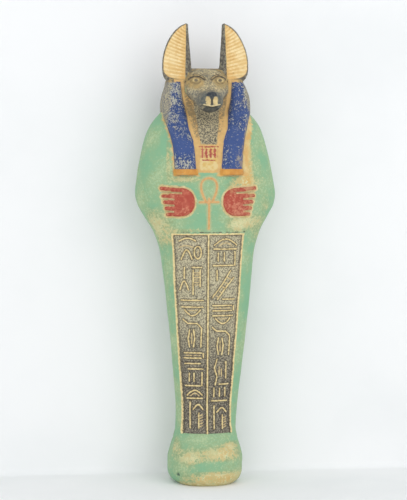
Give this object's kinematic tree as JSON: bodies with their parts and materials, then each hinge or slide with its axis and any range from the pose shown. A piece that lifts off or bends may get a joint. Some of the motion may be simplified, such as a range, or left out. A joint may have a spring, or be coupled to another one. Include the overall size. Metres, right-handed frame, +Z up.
{
  "type": "jackal-headed funerary figure",
  "caption": "Standing mummy-shaped stone figure with a jackal's head, tall ears, a long wig, folded hands and an inscribed panel down its front.",
  "frame": {"origin": "middle of the flat sole that the figure stands on", "axes": "+Z up through the head, -Y the way the face and the panel look, +X the figure's left"},
  "size_m": [0.0932, 0.0649, 0.3],
  "materials": {
    "green_painted_stone": "matte"
  },
  "bodies": {
    "root": {"jackal_headed_figure": "green_painted_stone"}
  },
  "joints": []
}
